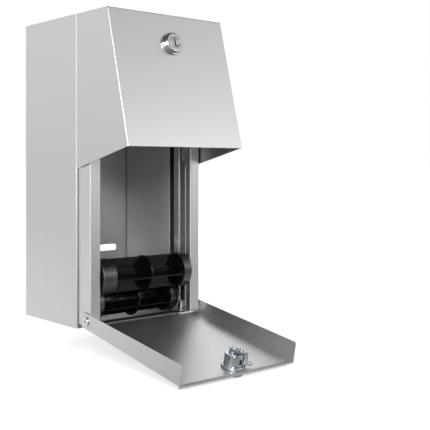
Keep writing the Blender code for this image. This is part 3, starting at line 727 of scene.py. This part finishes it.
# The hood's cam lock is a chromed zinc casting: a stepped bezel with a rounded face, and a plug with a
# keyway in it. A ring nut behind the sheet holds it. The plug's tail carries a washer, the cam and a
# small hexagon nut.
lock_seat = 0.0003
lock_bezel_radius = 0.0110
lock_bezel_top = 0.0019
lock_dome_radius = 0.00985
lock_dome_round = 0.0013
lock_front = 0.0055
lock_barrel_radius = 0.00875
lock_back = -0.0130
lock_body_edge = 0.0002
lock_body_round = 0.0005
lock_bore_radius = 0.0053
lock_plug_radius = 0.0050
lock_plug_recess = 0.0003
lock_plug_edge = 0.0003
lock_plug_back_edge = 0.0002
lock_tail_radius = 0.0030
lock_tail_bore = 0.0033
lock_tail_end = -0.0190
lock_tail_fillet = 0.0001
lock_tail_round = 0.0004
lock_nut = (-0.0036, -0.0011)
lock_ring_bore_edge = 0.0001
lock_ring_edge = 0.0003
lock_washer = (-0.0143, -0.0133)
lock_washer_radius = 0.00925
lock_cam = (-0.0162, -0.0146)
lock_end_nut = (-0.0187, -0.0165)
lock_end_nut_flats = 0.0090
lock_end_nut_chamfer = 0.0005
lock_steps = 72
tail_steps = 40
keyway_width = 0.0015
keyway_height = 0.0080
keyway_foot = 0.0026
keyway_foot_height = 0.0013
keyway_round = 0.0005
keyway_foot_round = 0.0004
keyway_low_round = 0.0003
keyway_depth = 0.0040
window_width = 0.0030
window_height = 0.0045
window_top = -0.0058
cam_width = 0.0085
cam_length = 0.0175
cam_heel = 0.0056
cam_corner = 0.0038
handled_size = 0.006
handled_dulling = 0.05
pit_size = 0.0005
pit_dulling = 0.02
pit_depth = 0.00001
pit_bump_share = 0.10
chrome_dark = (0.44, 0.45, 0.46)
chrome_light = (0.52, 0.53, 0.54)
zinc_dark = (0.46, 0.50, 0.54)
zinc_light = (0.58, 0.62, 0.66)


def plated(name, dark, light, roughness):
    """Bright plating on a casting: hardly any grain, with duller patches from handling."""
    finish, tree, shader = new_finish(name)
    shader.inputs["Metallic"].default_value = 1
    patches = cloudy(tree, handled_size, detail=3)
    pits = cloudy(tree, pit_size, detail=2)
    tree.links.new(blended(tree, spread(tree, patches, 0, 1), dark, light), shader.inputs["Base Color"])
    handled = spread(tree, patches, roughness, roughness + handled_dulling)
    pitted = spread(tree, pits, 0, pit_dulling)
    tree.links.new(worked(tree, "ADD", handled, pitted), shader.inputs["Roughness"])
    tree.links.new(scored(tree, pits, pit_depth, pit_bump_share), shader.inputs["Normal"])
    return finish


chrome = plated("chrome_plate", chrome_dark, chrome_light, roughness=0.06)
zinc = plated("zinc_plate", zinc_dark, zinc_light, roughness=0.20)


def lock_body(prefix, body, place):
    profile = [
        (lock_bore_radius, lock_back), (lock_barrel_radius, lock_back), (lock_barrel_radius, lock_seat),
        (lock_bezel_radius, lock_seat), (lock_bezel_radius, lock_bezel_top),
        (lock_dome_radius, lock_bezel_top), (lock_dome_radius, lock_front), (lock_bore_radius, lock_front)]
    radii = [
        lock_body_edge, lock_body_round, 0, lock_body_edge, lock_body_round, lock_body_edge,
        lock_dome_round, lock_body_edge]
    casting = turned(rounded(profile, radii), "z", lock_steps)
    half = window_width / 2
    window = block(
        -half, half, lock_plug_radius, lock_barrel_radius + overrun, window_top - window_height, window_top)
    combine(casting, window)
    shade_turned(casting)
    settle(casting, prefix + "_body", chrome, body, place)


def lock_ring(node, inner, outer, heights, finish, body, place):
    radii = [lock_ring_bore_edge, lock_ring_edge, lock_ring_edge, lock_ring_bore_edge]
    ring = turned(rounded(rectangle(inner, outer, *heights), radii), "z", lock_steps)
    shade_turned(ring)
    settle(ring, node, finish, body, place)


def lock_plug(prefix, body, place):
    face = lock_front - lock_plug_recess
    profile = [
        (0, face), (lock_plug_radius, face), (lock_plug_radius, lock_back), (lock_tail_radius, lock_back),
        (lock_tail_radius, lock_tail_end), (0, lock_tail_end)]
    radii = [0, lock_plug_edge, lock_plug_back_edge, lock_tail_fillet, lock_tail_round, 0]
    plug = turned(rounded(profile, radii), "z", lock_steps)
    half = keyway_width / 2
    rise = keyway_height / 2
    foot_top = keyway_foot_height - rise
    keyway = [
        (-half, -rise), (keyway_foot, -rise), (keyway_foot, foot_top), (half, foot_top), (half, rise),
        (-half, rise)]
    radii = [
        keyway_low_round, keyway_foot_round, keyway_foot_round, keyway_low_round, keyway_round, keyway_round]
    combine(plug, prism(rounded(keyway, radii), "z", face - keyway_depth, face + overrun))
    shade_turned(plug)
    settle(plug, prefix + "_plug", chrome, body, place)


def bore_tail(piece, low, high):
    """Drill the hole for the plug's tail through a piece of the lock."""
    combine(piece, prism(circle(lock_tail_bore, tail_steps), "z", low - overrun, high + overrun))


def end_nut(prefix, body, place):
    """Hexagon with its corners turned down to a cone, and a round hole."""
    low, high = lock_end_nut
    corner = lock_end_nut_flats / 2 / math.cos(math.pi / 6)
    nut = prism(circle(corner, 6), "z", low, high)
    chamfer = lock_end_nut_chamfer
    cone = [
        (0, low), (corner - chamfer, low), (corner, low + chamfer), (corner, high - chamfer),
        (corner - chamfer, high), (0, high)]
    combine(nut, turned(cone, "z", lock_steps), "INTERSECT")
    bore_tail(nut, low, high)
    ease_edges(nut, sheet_edge)
    settle(nut, prefix + "_end_nut", zinc, body, place)


def lock_set(prefix, body, rotor, place):
    lock_body(prefix, body, place)
    lock_ring(prefix + "_nut", lock_hole, lock_bezel_radius, lock_nut, zinc, body, place)
    lock_plug(prefix, rotor, place)
    lock_ring(prefix + "_washer", lock_tail_bore, lock_washer_radius, lock_washer, zinc, rotor, place)
    end_nut(prefix, rotor, place)


def cam_plan():
    """Outline of either cam seen along the lock's axis, pointing to +X."""
    corners = rectangle(-cam_heel, cam_length, -cam_width / 2, cam_width / 2)
    return rounded(corners, [cam_corner] * len(corners))


lock_set("hood_lock", "hood", "hood_lock_rotor", hood_lock_place)
cam = prism(cam_plan(), "z", *lock_cam)
bore_tail(cam, *lock_cam)
lay_grain(cam, sideways)
ease_edges(cam, sheet_edge)
settle(cam, "hood_lock_cam", bright_steel, "hood_lock_rotor", hood_lock_place)


# The door is a tray of 0.8 mm stainless sheet, brushed along its length: a floor, two side flanges that
# grow towards the free end, and a narrow edge turned down there. It swings on two rivets and hangs a
# little below level when it is open.
door_droop = math.radians(10.5)
door_x = 0.06745
door_inner_x = door_x - panel_sheet
door_floor = -0.0064
door_under = door_floor - panel_sheet
door_free = -0.143
door_tail = 0.0087
door_flange_near = 0.0076
door_flange_far = 0.0111
door_lip = 0.0020
door_lip_low = door_under - door_lip
door_rear_edge = 0.0010
door_corner = 0.0030
door_tip_corner = 0.0016
door_edge_round = 0.0012
door_fold_inside = 0.0008
door_tip_round = 0.0010
door_tip_spare = 0.00005
door_lock_x = 0.0025
door_lock_y = -0.1309
door_place = Matrix.Translation(joint_place["door_hinge"]) @ Matrix.Rotation(door_droop, 4, "X")

door_steel = brushed_steel("steel_door", shade=0.60, roughness=0.44)
outline = [
    (door_tail, door_under), (door_free + panel_sheet, door_under), (door_free + panel_sheet, door_lip_low),
    (door_free, door_lip_low), (door_free, door_flange_far), (door_tail, door_flange_near)]
door = prism(rounded(outline, [door_corner, 0, 0, 0, door_tip_corner, door_corner]), "x", -door_x, door_x)


def runs_along_door(first, second):
    return abs(first.y - second.y) > -door_free / 2


def is_outer_fold(first, second):
    is_low = max(first.z, second.z) < door_under + panel_sheet / 2
    return is_low and runs_along_door(first, second)


soften(door, is_outer_fold, door_edge_round)
tip_foot = door_floor - door_tip_round - door_tip_spare
room_front = door_free - overrun
room_rear = door_tail + overrun
room_top = door_flange_far + overrun
hollow = [
    (room_front, tip_foot), (door_free, tip_foot), (door_free, door_floor), (door_rear_edge, door_floor),
    (door_rear_edge, door_under - overrun), (room_rear, door_under - overrun), (room_rear, room_top),
    (room_front, room_top)]
room = prism(rounded(hollow, [0, 0, door_tip_round, 0, 0, 0, 0, 0]), "x", -door_inner_x, door_inner_x)


def is_inner_fold(first, second):
    on_floor = max(abs(first.z - door_floor), abs(second.z - door_floor)) < nearness
    return on_floor and runs_along_door(first, second)


soften(room, is_inner_fold, door_fold_inside)
combine(door, room)
combine(door, prism(circle(pivot_hole, hole_steps), "x", -door_x - overrun, door_x + overrun))
hole = circle(lock_hole, lock_hole_steps, (door_lock_x, door_lock_y))
combine(door, prism(hole, "z", door_under - overrun, door_floor + overrun))
lay_grain(door, Vector((0, 1, 0)))
ease_edges(door, sheet_edge)
settle(door, "door_panel", door_steel, "door", door_place)


# Two tubular rivets of bright steel are the door's hinge pins. Each goes through the door's flange and
# the post's side, with a round head outside and its end rolled over inside.
rivet_play = 0.00025
rivet_head = 0.0013
rivet_head_radius = 0.00435
rivet_head_round = 0.0009
rivet_head_edge = 0.0001
rivet_radius = 0.0024
rivet_bore = 0.0014
rivet_bore_depth = 0.0025
rivet_bore_round = 0.0004
rivet_tail = 0.0012
rivet_tail_radius = 0.0035
rivet_tail_round = 0.0008
rivet_tail_edge = 0.0002
rivet_steps = 48

head_x = door_x + rivet_play
face_x = head_x + rivet_head
bore_x = face_x - rivet_bore_depth
tail_x = post_inner_x - rivet_play
end_x = tail_x - rivet_tail
profile = [
    (0, bore_x), (rivet_bore, bore_x), (rivet_bore, face_x), (rivet_head_radius, face_x),
    (rivet_head_radius, head_x), (rivet_radius, head_x), (rivet_radius, tail_x),
    (rivet_tail_radius, tail_x), (rivet_tail_radius, end_x), (0, end_x)]
radii = [
    0, 0, rivet_bore_round, rivet_head_round, rivet_head_edge, 0, 0, rivet_tail_edge, rivet_tail_round, 0]
for word, side in sides:
    rivet = turned_beside(profile, radii, side, rivet_steps)
    lay_grain(rivet, sideways)
    settle(rivet, "door_pin_" + word, bright_steel, "case", door_place)


# The door's cam lock is the hood's lock over again, seen from behind. Its cam is a cranked strip of
# zinc-plated steel that steps down beside the barrel and runs out over the door's floor, with a short
# slot beside the crank and a small hole in its foot.
crank_riser = 0.0098
crank_foot = -0.0043
crank_bend = 0.0022
crank_sheet = lock_cam[1] - lock_cam[0]
crank_hole = 0.0013
crank_hole_inset = 0.0030
crank_slot_x = (0.0065, 0.0080)
crank_slot_half = 0.0025
crank_rest = math.radians(33)
door_lock_seat = Matrix.Translation((door_lock_x, door_lock_y, door_under))
door_lock_place = door_place @ door_lock_seat @ Matrix.Rotation(math.pi, 4, "X")

lock_set("door_lock", "door", "door_lock_rotor", door_lock_place)
path = [
    (-cam_heel, lock_cam[1]), (crank_riser, lock_cam[1]), (crank_riser, crank_foot), (cam_length, crank_foot)]
crank = prism(folded(path[::-1], crank_sheet, crank_bend), "y", -cam_width / 2, cam_width / 2)
combine(crank, prism(cam_plan(), "z", lock_cam[0] - overrun, crank_foot + overrun), "INTERSECT")
bore_tail(crank, *lock_cam)
hole = circle(crank_hole, hole_steps, (cam_length - crank_hole_inset, 0))
combine(crank, prism(hole, "z", crank_foot - crank_sheet - overrun, crank_foot + overrun))
slot = block(*crank_slot_x, -crank_slot_half, crank_slot_half, lock_cam[0] - overrun, lock_cam[1] + overrun)
combine(crank, slot)
crank.data.transform(Matrix.Rotation(crank_rest, 4, "Z"))
ease_edges(crank, sheet_edge)
settle(crank, "door_lock_cam", zinc, "door_lock_rotor", door_lock_place)


# Each spindle turns on a drawn steel axle of 4 mm. A moulded runner on either end of it rides in the
# tracks: small ones in the guides' slots for the lower spindle, wide ones behind the posts for the
# upper one.
levels = ("lower", "upper")
axle_radius = 0.0020
axle_round = 0.0004
axle_steps = 40
cup_outer_x = {-1: 0.0530, 1: 0.0543}
play = 0.0003
runner_radius = {"lower": 0.0035, "upper": 0.0066}
runner_past_guide = {"lower": 0.0043, "upper": 0.0021}
runner_cap = 0.0010
runner_bore = 0.0023
runner_round = 0.0005
runner_edge = 0.0003
runner_bore_edge = 0.0002
runner_steps = 56
peel_size = 0.0012
peel_dulling = 0.02
peel_depth = 0.00002
peel_bump_share = 0.12
scuff_size = 0.010
scuff_polish = 0.03
scuff_dulling = 0.05
dark_plastic_shares = (0.7, 0.7, 0.72)
light_plastic_shares = (1.4, 1.4, 1.4)


def moulded(name, shade, roughness, gloss):
    """Black moulding: a faint orange peel, and scuffs where the rolls' cores rub."""
    finish, tree, shader = new_finish(name)
    shader.inputs["Specular IOR Level"].default_value = gloss
    peel = cloudy(tree, peel_size, detail=2)
    scuffs = cloudy(tree, scuff_size, detail=5)
    dark = tinted(shade, dark_plastic_shares)
    light = tinted(shade, light_plastic_shares)
    tree.links.new(blended(tree, spread(tree, scuffs, 0, 1), dark, light), shader.inputs["Base Color"])
    scuffed = spread(tree, scuffs, roughness - scuff_polish, roughness + scuff_dulling)
    peeled = spread(tree, peel, 0, peel_dulling)
    tree.links.new(worked(tree, "ADD", scuffed, peeled), shader.inputs["Roughness"])
    tree.links.new(scored(tree, peel, peel_depth, peel_bump_share), shader.inputs["Normal"])
    return finish


black_plastic = moulded("plastic_black", shade=0.003, roughness=0.10, gloss=0.20)
for level in levels:
    place = Matrix.Translation(joint_place[level + "_spin"])
    runner_end = guide_x + runner_past_guide[level]
    cap_x = runner_end - runner_cap
    axle_end = cap_x - play
    profile = [(0, axle_end), (axle_radius, axle_end), (axle_radius, -axle_end), (0, -axle_end)]
    axle = turned(rounded(profile, [0, axle_round, axle_round, 0]), "x", axle_steps)
    shade_turned(axle)
    lay_grain(axle, sideways)
    settle(axle, level + "_axle", bright_steel, level + "_carrier", place)
    for word, side in sides:
        runner_start = cup_outer_x[side] + play
        profile = [
            (0, runner_end), (runner_radius[level], runner_end), (runner_radius[level], runner_start),
            (runner_bore, runner_start), (runner_bore, cap_x), (0, cap_x)]
        radii = [0, runner_round, runner_edge, runner_bore_edge, 0, 0]
        runner = turned_beside(profile, radii, side, runner_steps)
        settle(runner, level + "_runner_" + word, black_plastic, level + "_carrier", place)


# The spools are moulded in gloss black plastic: a hub with four long fins and a disc in the middle. A
# cup is pressed over each end of the fins, so that a roll's core slides on without catching. The cups
# are satin, with fine rings left by turning.
spool_radius = 0.0176
hub_radius = 0.00475
fin_count = 4
fin_lean = {"lower": math.radians(25), "upper": math.radians(11)}
fin_thickness = 0.0016
fin_tip_inset = 0.0001
fin_tip = spool_radius - fin_tip_inset
fin_tip_round = 0.00045
fin_root_round = 0.0007
fin_end_inset = 0.0019
fin_end = {side: cup_outer_x[side] - fin_end_inset for word, side in sides}
disc_low = 0.0029
disc_high = 0.0051
disc_round = 0.0005
cup_length = {-1: 0.0150, 1: 0.0095}
cup_wall = 0.0014
cup_end_wall = 0.0016
cup_round = 0.0012
cup_rim_round = 0.0004
cup_bore_edge = 0.0002
cup_skirt = spool_radius - cup_wall
spool_steps = 96
ring_pitch = 0.0011
ring_depth = 0.00008
ring_bump_share = 0.5
wave_node_factor = 20


def ringed(finish):
    """Score fine rings around X into a finish. At a scale of one the wave node runs 20 radians a unit."""
    tree = finish.node_tree
    place = tree.nodes.new("ShaderNodeTexCoord")
    rings = tree.nodes.new("ShaderNodeTexWave")
    rings.inputs["Scale"].default_value = 2 * math.pi / ring_pitch / wave_node_factor
    rings.inputs["Distortion"].default_value = 0
    tree.links.new(place.outputs["Object"], rings.inputs["Vector"])
    relief = scored(tree, rings.outputs["Fac"], ring_depth, ring_bump_share)
    tree.links.new(relief, tree.nodes["Principled BSDF"].inputs["Normal"])
    return finish


cup_plastic = ringed(moulded("plastic_cup", shade=0.008, roughness=0.26, gloss=1.0))


def fin_section(first_lean):
    """Cross section of the spool: a square hub with four fins, filleted at their roots."""
    half = fin_thickness / 2
    root = math.asin(half / hub_radius)
    gap = 2 * math.pi / fin_count - 2 * root
    corners = []
    radii = []
    for fin in range(fin_count):
        lean = first_lean + 2 * math.pi * fin / fin_count
        out = Vector((-math.cos(lean), -math.sin(lean)))
        beside = Vector((-out.y, out.x))
        corners.append(tuple(out * fin_tip - beside * half))
        corners.append(tuple(out * fin_tip + beside * half))
        radii += [fin_tip_round, fin_tip_round]
        for angle in (root, root + gap):
            corners.append(tuple(Matrix.Rotation(angle, 2) @ (out * hub_radius)))
            radii.append(fin_root_round)
    return rounded(corners, radii)


for level in levels:
    place = Matrix.Translation(joint_place[level + "_spin"])
    spool = prism(fin_section(fin_lean[level]), "x", -fin_end[-1], fin_end[1])
    for word, side in sides:
        rim_x = cup_outer_x[side] - cup_length[side]
        ends = side_range(side, rim_x - play, fin_end[side] + overrun)
        ring = rectangle(cup_skirt - play, spool_radius + overrun, *ends)
        combine(spool, turned(ring, "x", spool_steps))
    disc = rounded(rectangle(0, spool_radius, disc_low, disc_high), [0, disc_round, disc_round, 0])
    combine(spool, turned(disc, "x", spool_steps), "UNION")
    combine(spool, prism(circle(runner_bore, axle_steps), "x", -fin_end[-1] - overrun, fin_end[1] + overrun))
    shade_turned(spool)
    settle(spool, level + "_spool", black_plastic, level + "_roller", place)
    for word, side in sides:
        outer_x = cup_outer_x[side]
        rim_x = outer_x - cup_length[side]
        end_x = outer_x - cup_end_wall
        profile = [
            (runner_bore, outer_x), (spool_radius, outer_x), (spool_radius, rim_x), (cup_skirt, rim_x),
            (cup_skirt, end_x), (runner_bore, end_x)]
        radii = [cup_bore_edge, cup_round, cup_rim_round, cup_rim_round, cup_rim_round, 0]
        cup = turned_beside(profile, radii, side, spool_steps)
        settle(cup, level + "_cup_" + word, cup_plastic, level + "_roller", place)


# The dispenser stands on white paper that lies at its lowest point and keeps a soft shadow. The paper is
# white to the camera, but its glow is lower close to the middle, a painted shadow around the dispenser.
# The metal sees a painted reflection of it: dimmed close by and glowing brighter farther off. Each
# stretch below holds the distances where it starts and ends and the level at either.
floor_half = 40.0
left_front = (-0.74, -0.66, 0)
right_front = (0.66, -0.75, 0)
right_rear = (0.66, 0.75, 0)
white_light = (1, 1, 1, 1)
paper_shade = 0.80
paper_roughness = 0.9
paper_gloss = 0.1
right_painted_dimming = (0, 0.30, 0, 0.45)
right_clearing = (0.6, 1.1, 0, 0.45)
left_painted_dimming = (0, 0.30, 0, 0.45)
right_near_glow = (0.30, 0.60, 0.36, 0.05)
right_far_glow = (1.2, 3.0, 0, 0.50)
left_glow = (0.35, 0.7, 0, 0.5)
left_fading = (0.9, 1.6, 0, 0.5)
camera_glow_and_painted_shadow = (0.3, 1.0, 0.52, 0.72)

floor_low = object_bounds()[0][2]
corners = rectangle(-floor_half, floor_half, -floor_half, floor_half)
sweep = bpy.data.meshes.new("sweep")
sweep.from_pydata([(across, along, floor_low) for across, along in corners], [], [(0, 1, 2, 3)])
floor = bpy.data.objects.new("floor", sweep)
bpy.context.scene.collection.objects.link(floor)


def towards(tree, source, direction, start, finish, low, high):
    """Smooth step from low to high along a direction of the scene, or outwards on every side for None."""
    place = tree.nodes.new("ShaderNodeTexCoord")
    along = tree.nodes.new("ShaderNodeVectorMath")
    along.operation = "LENGTH" if direction is None else "DOT_PRODUCT"
    if direction is not None:
        along.inputs[1].default_value = direction
    tree.links.new(place.outputs[source], along.inputs[0])
    step = tree.nodes.new("ShaderNodeMapRange")
    step.interpolation_type = "SMOOTHSTEP"
    for name, value in (("From Min", start), ("From Max", finish), ("To Min", low), ("To Max", high)):
        step.inputs[name].default_value = value
    tree.links.new(along.outputs["Value"], step.inputs["Value"])
    return step.outputs["Result"]


paper, tree, shader = new_finish("white_paper")
shader.inputs["Roughness"].default_value = paper_roughness
shader.inputs["Specular IOR Level"].default_value = paper_gloss
shader.inputs["Emission Color"].default_value = white_light
rays = tree.nodes.new("ShaderNodeLightPath").outputs
mirrored_paper = worked(tree, "MAXIMUM", rays["Is Glossy Ray"], rays["Is Transmission Ray"])
# Painted reflection: the paper is darker close by, only as the metal sees it.
painted_dimming = towards(tree, "Object", right_front, *right_painted_dimming)
cleared = towards(tree, "Object", right_front, *right_clearing)
painted_dimming = worked(tree, "SUBTRACT", painted_dimming, cleared)
painted_dimming = worked(tree, "ADD", painted_dimming, towards(tree, "Object", left_front, *left_painted_dimming))
painted_dimming = worked(tree, "MULTIPLY", mirrored_paper, painted_dimming)
tree.links.new(worked(tree, "SUBTRACT", paper_shade, painted_dimming), shader.inputs["Base Color"])
# Painted reflection: the paper glows for the metal only, brighter farther off.
near = towards(tree, "Object", right_front, *right_near_glow)
far = towards(tree, "Object", right_front, *right_far_glow)
beside = towards(tree, "Object", left_front, *left_glow)
faded = towards(tree, "Object", left_front, *left_fading)
in_metal = worked(tree, "ADD", worked(tree, "ADD", near, far), worked(tree, "SUBTRACT", beside, faded))
in_metal = worked(tree, "MULTIPLY", mirrored_paper, in_metal)
# Painted shadow: the paper's glow to the camera is lower close to the middle.
to_camera = towards(tree, "Object", None, *camera_glow_and_painted_shadow)
to_camera = worked(tree, "MULTIPLY", rays["Is Camera Ray"], to_camera)
tree.links.new(worked(tree, "MAXIMUM", to_camera, in_metal), shader.inputs["Emission Strength"])
sweep.materials.append(paper)


# The studio is a white tent, plain white to the camera. In the metal it is brightest on the front right,
# darker overhead, and darkest on the camera's side.
plain_strength = 0.50
above_level = (0, 0.30, 0.98, 1.05)
overhead = (0.42, 0.80, 1.0, 0.12)
camera_side = (0.35, 0.90, 1.0, 0.04)
behind = (0.3, 0.9, 1.0, 0.9)


def tent_wall(tree, strength):
    wall = tree.nodes.new("ShaderNodeBackground")
    wall.inputs["Color"].default_value = white_light
    wall.inputs["Strength"].default_value = strength
    return wall


def mixed(tree, share, first, second):
    mix = tree.nodes.new("ShaderNodeMixShader")
    tree.links.new(share, mix.inputs["Fac"])
    tree.links.new(first, mix.inputs[1])
    tree.links.new(second, mix.inputs[2])
    return mix.outputs["Shader"]


world = bpy.data.worlds.new("studio")
bpy.context.scene.world = world
world.use_nodes = True
tree = world.node_tree
plain = tent_wall(tree, plain_strength)
white = tent_wall(tree, 1)
tent = tent_wall(tree, 1)
strength = towards(tree, "Generated", upright, *above_level)
for direction, reach in ((upright, overhead), (left_front, camera_side), (right_rear, behind)):
    strength = worked(tree, "MULTIPLY", strength, towards(tree, "Generated", direction, *reach))
tree.links.new(strength, tent.inputs["Strength"])
rays = tree.nodes.new("ShaderNodeLightPath").outputs
in_metal = mixed(tree, rays["Is Glossy Ray"], plain.outputs["Background"], tent.outputs["Background"])
seen_white = worked(tree, "MAXIMUM", rays["Is Camera Ray"], rays["Is Transmission Ray"])
to_camera = mixed(tree, seen_white, in_metal, white.outputs["Background"])
tree.links.new(to_camera, tree.nodes["World Output"].inputs["Surface"])


# Five soft boxes light it: two on the left, one above the camera that draws the white lines along the
# folds, a low wide one on the front right that puts the highlights on the black plastic, and one at the
# rear. A row holds a box's place, its width and height, and its power.
lamp_aim = Vector((0, -0.1, 0))
soft_boxes = {
    "box_left": ((-1.7, -0.15, 0.35), 0.25, 1.0, 2.5),
    "box_side": ((-1.62, -0.75, 0.25), 0.35, 0.85, 4),
    "box_high": ((-0.95, -1.35, 0.62), 0.5, 0.75, 18),
    "box_right": ((1.18, -1.60, 0.55), 0.5, 0.18, 1.6),
    "box_rear": ((0.90, 1.10, 1.40), 0.9, 0.9, 8)}
for name, (place, width, height, power) in soft_boxes.items():
    light = bpy.data.lights.new(name, "AREA")
    light.shape = "RECTANGLE"
    light.size = width
    light.size_y = height
    light.energy = power
    lamp = bpy.data.objects.new(name, light)
    lamp.location = place
    lamp.rotation_euler = (lamp_aim - Vector(place)).to_track_quat("-Z", "Y").to_euler()
    bpy.context.scene.collection.objects.link(lamp)


# The camera stands in front on the left, level with the dispenser's middle. Its shift frames the picture
# as the photograph is framed.
camera_place = (-0.49094, -0.78019, 0.00649)
camera_turn = math.radians(-41.29)
camera_lens = 69.55
camera_sensor = 36
camera_shift = -0.1178
view = bpy.data.cameras.new("camera")
view.sensor_width = camera_sensor
view.lens = camera_lens
view.shift_y = camera_shift
camera = bpy.data.objects.new("camera", view)
camera.location = camera_place
camera.rotation_euler = (math.pi / 2, 0, camera_turn)
bpy.context.scene.collection.objects.link(camera)
bpy.context.scene.camera = camera
bpy.context.scene.view_settings.view_transform = "Standard"
